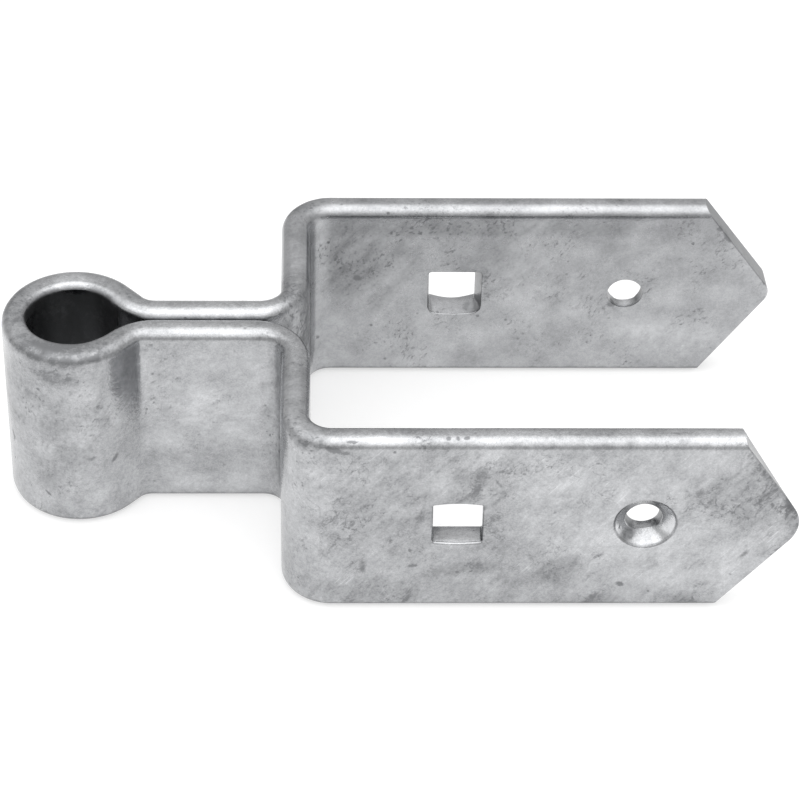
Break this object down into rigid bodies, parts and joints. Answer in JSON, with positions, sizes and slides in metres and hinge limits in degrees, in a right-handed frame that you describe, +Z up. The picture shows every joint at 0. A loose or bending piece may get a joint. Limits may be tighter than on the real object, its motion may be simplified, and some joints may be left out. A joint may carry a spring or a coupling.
{
  "type": "bottom hinge",
  "caption": "Galvanised gate hinge bent from one flat bar: an eye for the pin, a twin-leg neck and a fork of two punched straps that clasps the gate's rail.",
  "frame": {"origin": "middle of the eye's bore, at half the bar's width", "axes": "+Z up along the pin, +X from the eye to the straps' tips, -Y towards the front strap"},
  "size_m": [0.1784, 0.088, 0.05],
  "materials": {
    "zinc_coated_bar": "hot-dip galvanised, mottled matt grey"
  },
  "bodies": {
    "root": {"bottom_hinge": "zinc_coated_bar"}
  },
  "joints": []
}
